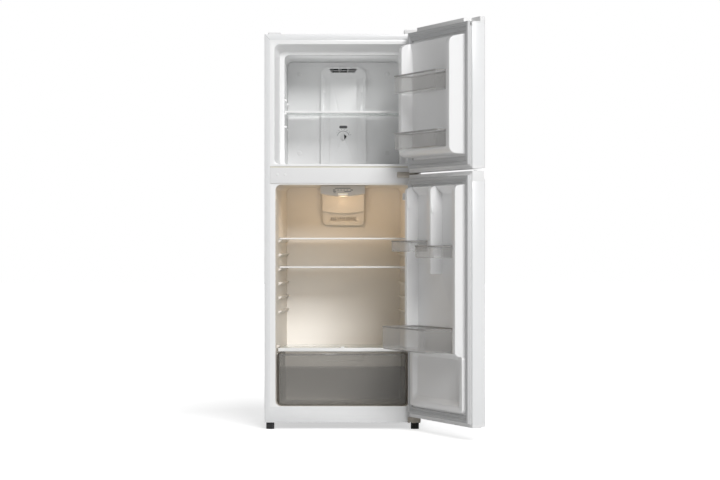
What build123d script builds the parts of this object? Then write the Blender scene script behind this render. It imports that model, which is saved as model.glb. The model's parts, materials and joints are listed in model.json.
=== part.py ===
# Top freezer refrigerator: cabinet, two hinged doors, shelves, drawer, door bins and cooling parts.
# Millimetres. +Z is up, the front faces -Y, the doors hang on the +X side.
# The origin lies on the floor, midway between the four feet.
import os
from math import hypot

from build123d import *

os.makedirs("parts", exist_ok=True)

# Cabinet
width = 600
depth = 570
cabinet_bottom = 26
cabinet_top = 1516
sheet = 1  # painted steel
flange = 22  # steel front flange beside and above the compartments
rail_top = 86  # top of the steel rail below the fresh-food compartment
wall = 2.5  # moulded plastic liners
gap = 0.3  # between pieces that move past each other
half = width / 2
front = -depth / 2
back = depth / 2
rim_plane = front + sheet  # front face of the two liner rims
rim_half = half - flange + 4  # the rims reach 4 mm behind the steel flange

# Machine compartment, behind and below the fresh-food liner
machine_front = 50
machine_top = 250
pan_sheet = 1.5
foam_over_machine = 32

# Freezer compartment: sections are (y, half width, bottom, top)
freezer_throat = [(rim_plane, 261, 1017, 1477.5), (front + 75, 243, 1014, 1455.5)]
freezer_back = 215
freezer_deep = [(front + 75, 225, 1012, 1442), (freezer_back, 224, 1012, 1441)]
freezer_corner = 20
freezer_rim = (1009, 1498)
floor_rib = (8, 4, 45)  # width, height, pitch
cover_front = front + 430
duct_raise = 13  # air duct on the evaporator cover
panel_raise = 2
freezer_levels = (1168, 1219.7, 1271)  # tops of the shelf ledges

# Fresh-food compartment
fresh_mid = front + 130
fresh_back = front + 480
fresh_sections = [
    (rim_plane, 257.5, 88, 938.6),
    (fresh_mid, 250, 88, 937.5),
    (fresh_back, 228, 89, 936),
]
fresh_rim = (82, 942)
rib_reach = 11
rib_height = 13.5
fresh_levels = (728, 672.5, 617, 561.5, 506, 450.5)
crisper_cover_level = 295.7
mullion = (943, 1003.5)

# Doors, drawn closed and then swung open
rest_angle = 111
hinge_x = 281
hinge_y = front - 34
hinge_axis = Axis((hinge_x, hinge_y, 0), (0, 0, 1))
gasket_depth = 14
door_depth = 51
door_inner = front - gasket_depth
door_outer = door_inner - door_depth
lip = 18  # return flange round the back of a door's steel skin
door_radius = 5
gasket_inset = 14.5
gasket_width = 16
gasket_front = front - 2 * gap
door_liner = 2.2
liner_face = door_inner + door_liner
freezer_door = (982.6, 1531)
fresh_door = (50, 974.7)
freezer_caps = (12, 23)  # heights of the bottom and top end caps
fresh_caps = (12, 36.7)
recess_length = 78  # hinge recesses in the freezer door's top cap
recess_floor = 1513
freezer_dyke = (213, 245)  # inner and outer faces of the upright ribs on the door liners
freezer_raise = 67
freezer_pocket = door_inner + 22
fresh_dyke = (218, 243)
fresh_raise = 43
fresh_pocket = door_inner - 3
middle_dyke = 15
boss_raise = 5  # small bosses on the ribs that carry the bins
boss_height = 23
lower_raise = 18
pin_radius = 4
bushing_radius = 7
running = 0.05

# Shelves, bins, drawer and small parts
glass = 4
bin_wall = 2
foot_radius = 15
foot_x = 278
foot_y = 260
housing_front = front + 130
duct_half = 84
screw_radius = 9


def front_plane(y):
    """Upright sketch plane at y; a negative extrusion goes towards the back."""
    return Plane.XZ.offset(-y)


def save(piece, label):
    piece.part.label = label
    export_step(piece.part, f"parts/{label}.step")


def save_open(piece, label):
    """Write a door's piece, swung from closed to its resting angle."""
    piece.part = piece.part.rotate(hinge_axis, rest_angle)
    save(piece, label)


def cavity(sections, radius, grow=0):
    """Solid through rounded rectangles, with every wall moved out by grow."""
    with BuildPart() as space:
        for number, (y, half_width, low, high) in enumerate(sections):
            last = number == len(sections) - 1
            with BuildSketch(front_plane(y + (grow if last else 0))):
                with Locations((0, (low + high) / 2)):
                    RectangleRounded(2 * (half_width + grow), high - low + 2 * grow, radius + grow)
        loft(ruled=True)
    return space.part


def box_between(low, high):
    """A box from its two corners, for cutting or adding."""
    size = [b - a for a, b in zip(low, high)]
    middle = [(a + b) / 2 for a, b in zip(low, high)]
    return Pos(*middle) * Box(*size, mode=Mode.PRIVATE)


def fresh_space(grow=0):
    """Fresh-food compartment with the step over the machine compartment."""
    step_front = machine_front - foam_over_machine + grow
    step_top = machine_top + foam_over_machine + 1 - grow
    step = box_between((-half, step_front, 0), (half, back, step_top))
    return cavity(fresh_sections, 21, grow) - step


def fresh_half_width(y):
    """Half width of the fresh-food compartment at y."""
    sections = fresh_sections
    for (y1, half1, _, _), (y2, half2, _, _) in zip(sections, sections[1:]):
        if y <= y2:
            return half1 + (half2 - half1) * (y - y1) / (y2 - y1)
    return sections[-1][1]


def rim(low, high):
    """Flat rim behind the steel flange; the compartment is cut out of it later."""
    with BuildPart() as plate:
        with BuildSketch(front_plane(rim_plane)):
            with Locations((0, (low + high) / 2)):
                Rectangle(2 * rim_half, high - low)
        extrude(amount=-wall)
    return plate.part


# ---- Cabinet ----

with BuildPart() as cabinet_shell:
    add(box_between((-half, front, cabinet_bottom), (half, back, cabinet_top)))
    fillet(cabinet_shell.edges().filter_by(Axis.Y).group_by(Axis.Z)[-1], 4)
    add(
        box_between((-half + sheet, rim_plane, 0), (half - sheet, back, cabinet_top - sheet)),
        mode=Mode.SUBTRACT,
    )
    with BuildSketch(front_plane(front)):
        with Locations((0, (rail_top + cabinet_top - flange) / 2)):
            Rectangle(2 * (half - flange), cabinet_top - flange - rail_top)
    extrude(amount=-sheet, mode=Mode.SUBTRACT)
save(cabinet_shell, "cabinet_shell")

with BuildPart() as back_panel:
    panel_low = machine_top
    add(box_between((-half + sheet, back - sheet, panel_low), (half - sheet, back, cabinet_top - sheet)))
    inlet_x = -230
    inlet_z = machine_top + 32
    with Locations(Location((inlet_x, back, inlet_z), (90, 0, 0))):
        Hole(radius=8)
    # stiffening swages pressed into the sheet
    with BuildSketch(front_plane(back)):
        with GridLocations(400, 0, 2, 1):
            with Locations((0, 900)):
                SlotCenterToCenter(900, 30, rotation=90)
    extrude(amount=0.5, mode=Mode.SUBTRACT)
save(back_panel, "back_panel")

with BuildPart() as base_pan:
    inner = half - sheet
    add(box_between((-inner, rim_plane, cabinet_bottom), (inner, back, cabinet_bottom + pan_sheet)))
    upright_back = machine_front + pan_sheet
    add(box_between((-inner, machine_front, cabinet_bottom), (inner, upright_back, machine_top)))
    add(box_between((-inner, machine_front, machine_top - pan_sheet), (inner, back, machine_top)))
    with Locations((foot_x, -foot_y, cabinet_bottom), (-foot_x, -foot_y, cabinet_bottom)):
        Hole(radius=5)
save(base_pan, "base_pan")

with BuildPart() as foam_insulation:
    foam_low = cabinet_bottom + pan_sheet
    add(box_between((-inner, rim_plane + wall, foam_low), (inner, back - sheet, cabinet_top - sheet)))
    add(box_between((-half, machine_front, 0), (half, back, machine_top)), mode=Mode.SUBTRACT)
    add(cavity(freezer_throat, 20, wall), mode=Mode.SUBTRACT)
    add(cavity(freezer_deep, freezer_corner, wall), mode=Mode.SUBTRACT)
    add(fresh_space(wall), mode=Mode.SUBTRACT)
    for side in (-1, 1):
        with BuildSketch(Plane.XY.offset(foam_low)):
            with Locations((side * foot_x, -foot_y)):
                Circle(6)
        extrude(amount=20, mode=Mode.SUBTRACT)
    with Locations(Location((inlet_x, back, inlet_z), (90, 0, 0))):
        Hole(radius=11, depth=30)
save(foam_insulation, "foam_insulation")

with BuildPart() as freezer_liner:
    add(rim(*freezer_rim))
    add(cavity(freezer_throat, 20, wall))
    add(cavity(freezer_deep, freezer_corner, wall))
    add(cavity(freezer_throat, 20), mode=Mode.SUBTRACT)
    add(cavity(freezer_deep, freezer_corner), mode=Mode.SUBTRACT)
    rib_width, rib_rise, rib_pitch = floor_rib
    floor_z = freezer_deep[0][2]
    rib_front = front + 82
    rib_back = cover_front - duct_raise - panel_raise - 2
    with BuildSketch(Plane.XY.offset(floor_z)):
        with Locations((0, (rib_front + rib_back) / 2)):
            with GridLocations(rib_pitch, 0, 9, 1):
                Rectangle(rib_width, rib_back - rib_front)
    extrude(amount=rib_rise)
    for level in freezer_levels:
        for side in (-1, 1):
            x_low, x_high = sorted((side * 218, side * 226))
            for y in (front + 105, front + 370):
                add(box_between((x_low, y, level - 7), (x_high, y + 30, level)))
save(freezer_liner, "freezer_liner")


def shelf_rib(level, side, y1, y2):
    """Wedge on a side wall: flat on top, sloping underneath, following the wall."""
    with BuildPart() as rib:
        for y in (y1, y2):
            edge = fresh_half_width(y)
            with BuildSketch(front_plane(y)):
                with BuildLine():
                    Polyline(
                        (side * (edge + 1), level),
                        (side * (edge - rib_reach), level),
                        (side * (edge - rib_reach), level - 4),
                        (side * (edge + 1), level - rib_height),
                        close=True,
                    )
                make_face()
        loft(ruled=True)
    return rib.part


with BuildPart() as fresh_food_liner:
    add(rim(*fresh_rim))
    add(fresh_space(wall))
    add(fresh_space(), mode=Mode.SUBTRACT)
    for side in (-1, 1):
        for level in fresh_levels:
            add(shelf_rib(level, side, fresh_mid + 6, fresh_back - 15))
        add(shelf_rib(crisper_cover_level, side, front + 62, fresh_back - 15))
        # short stop above the crisper cover
        add(shelf_rib(320, side, front + 62, front + 92))
save(fresh_food_liner, "fresh_food_liner")

with BuildPart() as mullion_bar:
    mullion_low, mullion_high = mullion
    mullion_half = half - flange - gap
    mullion_back = rim_plane + wall
    add(box_between((-mullion_half, front, mullion_low), (mullion_half, mullion_back, mullion_high)))
    chamfer(mullion_bar.faces().sort_by(Axis.Y)[0].edges().filter_by(Axis.X), 0.8)
save(mullion_bar, "mullion_bar")

# ---- Freezer equipment ----

duct_x = 91
duct_top = 1420
panel_half = 55
panel_top = 1374
knob_z = 1139
cover_plate = 3
cover_floor = freezer_deep[0][2] + gap
grille_rows = ((109, 1406, 1413), (99, 1398, 1404))

with BuildPart() as evaporator_cover:
    with BuildSketch(front_plane(cover_front)):
        with Locations((0, (cover_floor + 1440) / 2)):
            RectangleRounded(2 * 223.5, 1440 - cover_floor, freezer_corner - 1)
    extrude(amount=-cover_plate)
    with BuildSketch(front_plane(cover_front)) as duct_face:
        with Locations((0, (cover_floor + duct_top) / 2)):
            Rectangle(2 * duct_x, duct_top - cover_floor)
        fillet(duct_face.vertices().group_by(Axis.Y)[-1], 33)
    extrude(amount=duct_raise)
    with BuildSketch(front_plane(cover_front - duct_raise)) as inner_panel:
        with Locations((0, (cover_floor + panel_top) / 2)):
            Rectangle(2 * panel_half, panel_top - cover_floor)
        fillet(inner_panel.vertices().group_by(Axis.Y)[-1], 14)
    extrude(amount=panel_raise)
    # hollow behind the raised duct
    with BuildSketch(front_plane(cover_front + cover_plate)) as hollow:
        with Locations((0, (cover_floor + duct_top) / 2)):
            Rectangle(2 * (duct_x - cover_plate), duct_top - cover_floor - 2 * cover_plate)
        fillet(hollow.vertices().group_by(Axis.Y)[-1], 30)
    extrude(amount=duct_raise, mode=Mode.SUBTRACT)
    # air outlet grille, two rows of three slots
    for row_width, low, high in grille_rows:
        with BuildSketch(front_plane(cover_front - duct_raise)):
            with Locations((0, (low + high) / 2)):
                with GridLocations(row_width / 3, 0, 3, 1):
                    Rectangle(row_width / 3 - 2, high - low)
        extrude(amount=-cover_plate, mode=Mode.SUBTRACT)
    # shallow upright grooves beside the panel
    with BuildSketch(front_plane(cover_front - duct_raise)):
        for side in (-1, 1):
            for low, high in ((1321, 1377), (1261, 1313)):
                with Locations((side * 76, (low + high) / 2)):
                    SlotOverall(high - low, 12, rotation=90)
    extrude(amount=-1.2, mode=Mode.SUBTRACT)
    with Locations(Location((0, cover_front - duct_raise, knob_z), (90, 0, 0))):
        Hole(radius=3 + running)
save(evaporator_cover, "evaporator_cover")

with BuildPart() as air_flow_knob:
    knob_face = cover_front - duct_raise - panel_raise - gap
    with BuildSketch(front_plane(knob_face)):
        with Locations((0, knob_z)):
            Circle(13)
    extrude(amount=4)
    with BuildSketch(front_plane(knob_face)):
        with Locations((0, knob_z)):
            SlotOverall(25, 7, rotation=90)
    extrude(amount=9)
    with BuildSketch(front_plane(knob_face)):
        with Locations((0, knob_z)):
            Circle(3)
    extrude(amount=-14)
save(air_flow_knob, "air_flow_knob")

with BuildPart() as screw_caps:
    for x in (-176, 176):
        for z in (1393, 1075):
            with BuildSketch(front_plane(cover_front)):
                with Locations((x, z)):
                    Circle(screw_radius)
            extrude(amount=2.5)
    for x in (-250, -221):
        with BuildSketch(front_plane(front)):
            with Locations((x, 977)):
                Circle(5.5)
        extrude(amount=1.8)
save(screw_caps, "screw_caps")

fan_z = 1385
fan_y = cover_front + cover_plate + 14

with BuildPart() as evaporator_fan:
    with BuildSketch(front_plane(fan_y - 8)):
        with Locations((0, fan_z)):
            Circle(14)
    extrude(amount=-16)
    blade_plane = Plane(origin=(0, fan_y, fan_z), x_dir=(1, 0, 0), z_dir=(0, -1, 0))
    for number in range(5):
        hub_turn = Rot(0, 0, 72 * number)
        blade = Plane(blade_plane.location * hub_turn * Location((12, 0, 0), (28, 0, 0)))
        with BuildSketch(blade):
            with BuildLine():
                Line((0, -6), (32, -15))
                ThreePointArc((32, -15), (36, 0), (32, 15))
                Line((32, 15), (0, 6))
                Line((0, 6), (0, -6))
            make_face()
        extrude(amount=0.8, both=True)
    # bore for the motor shaft
    with BuildSketch(front_plane(fan_y - 8)):
        with Locations((0, fan_z)):
            Circle(2 + running)
    extrude(amount=-16, mode=Mode.SUBTRACT)
save(evaporator_fan, "evaporator_fan")

with BuildPart() as fan_motor:
    motor_front = fan_y + 10
    with BuildSketch(front_plane(motor_front)):
        with Locations((0, fan_z)):
            Circle(22)
    extrude(amount=-24)
    with BuildSketch(front_plane(motor_front + 20)):
        with Locations((0, fan_z)):
            Rectangle(150, 14)
            Rectangle(14, 90)
    extrude(amount=-3)
    with BuildSketch(front_plane(motor_front)):
        with Locations((0, fan_z)):
            Circle(2)
    extrude(amount=17)
save(fan_motor, "fan_motor")

with BuildPart() as evaporator_coil:
    tube_y = (cover_front + freezer_back) / 2 + 2
    tube_heights = [1060 + 40 * number for number in range(6)]
    for z in tube_heights:
        with BuildSketch(Plane.YZ.offset(-190)):
            with Locations((tube_y, z)):
                Circle(4)
        extrude(amount=380)
    for z1, z2, side in zip(tube_heights, tube_heights[1:], (1, -1, 1, -1, 1)):
        with BuildSketch(Plane.XY.offset(z1)):
            with Locations((side * 186, tube_y)):
                Circle(4)
        extrude(amount=z2 - z1)
    with BuildSketch(Plane.YZ.offset(-176)) as fin:
        with Locations((tube_y, 1160)):
            Rectangle(44, 240)
    for number in range(17):
        extrude(fin.sketch.moved(Location((22 * number, 0, 0))), amount=0.8)
save(evaporator_coil, "evaporator_coil")

with BuildPart() as freezer_shelf_glass:
    shelf_z = freezer_levels[1] + gap
    shelf_front = front + 110
    shelf_back = front + 405
    shelf_half = 223.3
    add(box_between((-shelf_half, shelf_front + 4, shelf_z), (shelf_half, shelf_back, shelf_z + glass)))
    fillet(freezer_shelf_glass.edges().filter_by(Axis.Z).group_by(Axis.Y)[-1], 10)
save(freezer_shelf_glass, "freezer_shelf_glass")

with BuildPart() as freezer_shelf_trim:
    # channel over the front edge of the glass
    add(box_between((-shelf_half, shelf_front, shelf_z), (shelf_half, shelf_front + 14, shelf_z + 7)))
    fillet(freezer_shelf_trim.faces().sort_by(Axis.Y)[0].edges().filter_by(Axis.X), 1.5)
    slot = box_between((-half, shelf_front + 4, shelf_z), (half, shelf_front + 14, shelf_z + glass))
    add(slot, mode=Mode.SUBTRACT)
save(freezer_shelf_trim, "freezer_shelf_trim")

# ---- Fresh-food equipment ----


def fresh_shelf(level, name):
    """Glass shelf that narrows towards the back, with a moulded trim on its front edge."""
    y_front = fresh_mid
    y_back = fresh_back - 40
    z = level + gap
    half_front = fresh_half_width(y_front) - 3
    half_back = fresh_half_width(y_back) - 3
    with BuildPart() as plate:
        with BuildSketch(Plane.XY.offset(z)) as outline:
            with BuildLine():
                Polyline(
                    (-half_front, y_front + 4),
                    (half_front, y_front + 4),
                    (half_back, y_back),
                    (-half_back, y_back),
                    close=True,
                )
            make_face()
            fillet(outline.vertices().group_by(Axis.Y)[-1], 10)
        extrude(amount=glass)
    save(plate, f"{name}_glass")
    with BuildPart() as trim:
        trim_half = half_front - 1
        add(box_between((-trim_half, y_front, z), (trim_half, y_front + 14, z + 6)))
        fillet(trim.faces().sort_by(Axis.Y)[0].edges().filter_by(Axis.X), 1.5)
        add(box_between((-half, y_front + 4, z), (half, y_front + 14, z + glass)), mode=Mode.SUBTRACT)
    save(trim, f"{name}_trim")


fresh_shelf(fresh_levels[0], "upper_shelf")
fresh_shelf(fresh_levels[2], "lower_shelf")

with BuildPart() as crisper_cover_trim:
    trim_front = front + 42
    trim_z = crisper_cover_level
    trim_half = 248
    add(box_between((-trim_half, trim_front, trim_z), (trim_half, trim_front + 22, 310)))
    fillet(crisper_cover_trim.faces().sort_by(Axis.Y)[0].edges().filter_by(Axis.X), 3)
    add(
        box_between((-half, trim_front + 14, 303), (half, trim_front + 22, 303 + glass)),
        mode=Mode.SUBTRACT,
    )
    # groove that the humidity slider runs in
    slider_y = trim_front + 7
    add(
        box_between((-34, slider_y - 2, 304), (34, slider_y + 2, 310)),
        mode=Mode.SUBTRACT,
    )
save(crisper_cover_trim, "crisper_cover_trim")

with BuildPart() as crisper_cover_glass:
    with BuildSketch(Plane.XY.offset(303)) as outline:
        glass_back = fresh_back - 20
        glass_front_half = fresh_half_width(trim_front + 14) - 6
        glass_back_half = fresh_half_width(glass_back) - 3
        with BuildLine():
            Polyline(
                (-glass_front_half, trim_front + 14),
                (glass_front_half, trim_front + 14),
                (glass_back_half, glass_back),
                (-glass_back_half, glass_back),
                close=True,
            )
        make_face()
    extrude(amount=glass)
save(crisper_cover_glass, "crisper_cover_glass")

with BuildPart() as humidity_slider:
    add(box_between((-6.5, slider_y - 5, 310 + gap), (6.5, slider_y + 5, 315)))
    fillet(humidity_slider.faces().sort_by(Axis.Z)[-1].edges(), 1)
    add(box_between((-5, slider_y - 1.6, 305), (5, slider_y + 1.6, 310 + gap)))
save(humidity_slider, "humidity_slider")

drawer_front = front + 23
drawer_back = machine_front - foam_over_machine - 12
drawer_low = 88.5
drawer_high = 288
drawer_half = 246
drawer_back_half = 230
grip_half = 80
grip_low = 262
grip_depth = 13


def drawer_block(inset, low, high):
    """Outline of the drawer, moved in by inset, between two heights."""
    with BuildPart() as block:
        with BuildSketch(Plane.XY.offset(low)) as outline:
            with BuildLine():
                Polyline(
                    (-drawer_half + inset, drawer_front + inset),
                    (drawer_half - inset, drawer_front + inset),
                    (drawer_back_half - inset, drawer_back - inset),
                    (-drawer_back_half + inset, drawer_back - inset),
                    close=True,
                )
            make_face()
            fillet(outline.vertices(), 8)
        extrude(amount=high - low)
        fillet(block.faces().sort_by(Axis.Z)[0].edges(), 16)
    return block.part


with BuildPart() as crisper_drawer:
    add(drawer_block(0, drawer_low, drawer_high))
    # finger grip in the top of the front wall, kept closed towards the inside
    grip_back = drawer_front + grip_depth
    grip = box_between((-grip_half, drawer_front, grip_low), (grip_half, grip_back, drawer_high))
    grip_shell = box_between(
        (-grip_half - wall, drawer_front, grip_low - wall),
        (grip_half + wall, grip_back + wall, drawer_high),
    )
    add(drawer_block(wall, drawer_low + wall, drawer_high) - grip_shell, mode=Mode.SUBTRACT)
    add(grip, mode=Mode.SUBTRACT)
    # the back wall is lower than the front
    add(
        box_between((-half, drawer_back - 14, 226), (half, drawer_back + 1, drawer_high + 1)),
        mode=Mode.SUBTRACT,
    )
save(crisper_drawer, "crisper_drawer")

housing_half = 86
housing_top = 936.5
housing_back = housing_front + 120
dial_radius = 22
dial_y = housing_front + 16.7
dial_z = 900.5
dial_height = 6.6

with BuildPart() as control_housing:
    for inset, mode in ((0, Mode.ADD), (wall, Mode.SUBTRACT)):
        edge = housing_half - inset
        with BuildSketch(front_plane(housing_front + inset)):
            with BuildLine():
                corner = 908 + inset
                upper = housing_top - inset
                Polyline((-edge, corner), (-edge, upper), (edge, upper), (edge, corner))
                ThreePointArc((edge, corner), (0, 897 + inset), (-edge, corner))
            make_face()
        extrude(amount=-(housing_back - housing_front - 2 * inset), mode=mode)
    # slot for the dial, and the post it turns on
    slot_low = dial_z - gap
    slot_high = dial_z + dial_height + gap
    slot = box_between((-19, housing_front - 1, slot_low), (19, housing_front + wall + 1, slot_high))
    add(slot, mode=Mode.SUBTRACT)
    with BuildSketch(Plane.XY.offset(898)):
        with Locations((0, dial_y)):
            Circle(3)
    extrude(amount=housing_top - wall - 898)
    # air holes towards the duct
    with BuildSketch(front_plane(housing_back)):
        with GridLocations(24, 0, 4, 1):
            with Locations((0, 921)):
                SlotOverall(18, 8)
    extrude(amount=wall, mode=Mode.SUBTRACT)
save(control_housing, "control_housing")

with BuildPart() as temperature_dial:
    with BuildSketch(Plane.XY.offset(dial_z)):
        with Locations((0, dial_y)):
            Circle(dial_radius)
            with PolarLocations(dial_radius, 36):
                Circle(0.7, mode=Mode.SUBTRACT)
            Circle(3 + running, mode=Mode.SUBTRACT)
    extrude(amount=dial_height)
save(temperature_dial, "temperature_dial")

with BuildPart() as lamp_bulb:
    bulb_z = 917
    with BuildSketch(front_plane(housing_back)):
        with Locations((0, bulb_z)):
            Circle(8)
    extrude(amount=-16)
    bulb_centre = housing_back + 30
    with Locations((0, bulb_centre, bulb_z)):
        Sphere(radius=15)
save(lamp_bulb, "lamp_bulb")

with BuildPart() as duct_cover:
    duct_low = 785
    duct_high = fresh_sections[-1][3] - 0.5
    for inset, mode in ((0, Mode.ADD), (wall, Mode.SUBTRACT)):
        with BuildSketch(front_plane(fresh_back)) as lower_face:
            with Locations((0, (duct_low + duct_high) / 2)):
                Rectangle(2 * (duct_half - inset), duct_high - duct_low - 2 * inset)
            fillet(lower_face.vertices().group_by(Axis.Y)[0], 22 - inset)
        extrude(amount=16 - inset, mode=mode)
        # the upper part stands further out, with a curved lower edge
        edge = duct_half - inset
        with BuildSketch(front_plane(fresh_back)):
            with BuildLine():
                corner = 843 + inset
                upper = duct_high - inset
                Polyline((-edge, corner), (-edge, upper), (edge, upper), (edge, corner))
                ThreePointArc((edge, corner), (0, 833 + inset), (-edge, corner))
            make_face()
        extrude(amount=36 - inset, mode=mode)
    with BuildSketch(front_plane(fresh_back - 16)):
        with Locations((0, 810)):
            with GridLocations(7.4, 0, 14, 1):
                Rectangle(3.4, 16)
    extrude(amount=-wall, mode=Mode.SUBTRACT)
save(duct_cover, "duct_cover")

switch_x = 238
switch_z = 893

with BuildPart() as door_switch_body:
    body_front = front + 45
    add(box_between((231, body_front, switch_z - 13), (252.5, body_front + 34, switch_z + 13)))
    fillet(door_switch_body.edges().filter_by(Axis.Y), 2)
    with BuildSketch(front_plane(body_front)):
        with Locations((switch_x, switch_z)):
            Circle(3 + gap)
    extrude(amount=-24, mode=Mode.SUBTRACT)
save(door_switch_body, "door_switch_body")

with BuildPart() as door_switch_plunger:
    # the tip stops just short of the closed door's upright rib
    plunger_tip = door_inner + fresh_raise + gap
    with BuildSketch(front_plane(plunger_tip)):
        with Locations((switch_x, switch_z)):
            Circle(3)
    extrude(amount=-(body_front + 16 - plunger_tip))
    fillet(door_switch_plunger.faces().sort_by(Axis.Y)[0].edges(), 1.2)
save(door_switch_plunger, "door_switch_plunger")

# ---- Hinges and covers ----


def arm_outline(x_low, x_high, y_back):
    """Flat hinge arm: straight sides from the cabinet to a round end about the pin."""
    radius = (x_high - x_low) / 2
    with BuildSketch() as outline:
        with BuildLine():
            Polyline((x_low, hinge_y), (x_low, y_back), (x_high, y_back), (x_high, hinge_y))
            ThreePointArc((x_high, hinge_y), (hinge_x, hinge_y - radius), (x_low, hinge_y))
        make_face()
    return outline.sketch


def hinge_pin(low, high):
    """Upright pin on the doors' axis."""
    with BuildPart() as pin:
        with BuildSketch(Plane.XY.offset(low)):
            with Locations((hinge_x, hinge_y)):
                Circle(pin_radius)
        extrude(amount=high - low)
    return pin.part


arm_half = 9
with BuildPart() as top_hinge:
    with BuildSketch(Plane.XY.offset(cabinet_top)):
        add(arm_outline(hinge_x - arm_half, hinge_x + arm_half, front + 8))
        with Locations((270, front + 33)):
            RectangleRounded(52, 54, 5)
    extrude(amount=3)
    add(hinge_pin(1500, cabinet_top))
save(top_hinge, "top_hinge")

with BuildPart() as centre_hinge:
    plate_low, plate_high = 965, 987
    arm_low, arm_high = 976, 981
    add(box_between((209, front - 3, plate_low), (291, front, plate_high)))
    fillet(centre_hinge.edges().filter_by(Axis.Y), 4)
    with BuildSketch(Plane.XY.offset(arm_low)):
        add(arm_outline(hinge_x - 10, hinge_x + 10, front - 3))
    extrude(amount=arm_high - arm_low)
    add(hinge_pin(961, 996))
save(centre_hinge, "centre_hinge")

with BuildPart() as bottom_hinge:
    add(box_between((250, front - 3, 24), (299, front, 47)))
    fillet(bottom_hinge.edges().filter_by(Axis.Y), 3)
    with BuildSketch(Plane.XY.offset(43)):
        add(arm_outline(hinge_x - 12, hinge_x + 12, front - 3))
    extrude(amount=4)
    add(hinge_pin(47, 64))
    # notches in the lower edge of the plate
    with BuildSketch(front_plane(front)):
        for x in (262, 287):
            with Locations((x, 25)):
                Circle(4)
    extrude(amount=3, mode=Mode.SUBTRACT)
save(bottom_hinge, "bottom_hinge")

with BuildPart() as hinge_screws:
    for x, z in ((222, 976), (242, 976), (256, 34), (274.5, 34), (293, 34)):
        with BuildSketch(front_plane(front - 3)):
            with Locations((x, z)):
                Circle(4.5)
                RegularPolygon(2.2, 6, mode=Mode.SUBTRACT)
        extrude(amount=2.4)
save(hinge_screws, "hinge_screws")

with BuildPart() as hinge_cover:
    cover_low = (236, front + 1, cabinet_top)
    cover_high = (299, front + 66, cabinet_top + 16.5)
    add(box_between(cover_low, cover_high))
    fillet(hinge_cover.edges().filter_by(Axis.Z), 6)
    fillet(hinge_cover.faces().sort_by(Axis.Z)[-1].edges(), 3)
    add(
        box_between(
            [value + 2 for value in cover_low[:2]] + [cabinet_top],
            [value - 2 for value in cover_high],
        ),
        mode=Mode.SUBTRACT,
    )
    # way out for the hinge arm
    add(box_between((271, front, cabinet_top), (291, front + 4, cabinet_top + 4)), mode=Mode.SUBTRACT)
save(hinge_cover, "hinge_cover")

with BuildPart() as hinge_hole_cover:
    add(box_between((-286, front + 2, cabinet_top), (-239, front + 56, cabinet_top + 6)))
    fillet(hinge_hole_cover.edges().filter_by(Axis.Z), 5)
    fillet(hinge_hole_cover.faces().sort_by(Axis.Z)[-1].edges(), 2)
save(hinge_hole_cover, "hinge_hole_cover")

# ---- Doors ----


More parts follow.
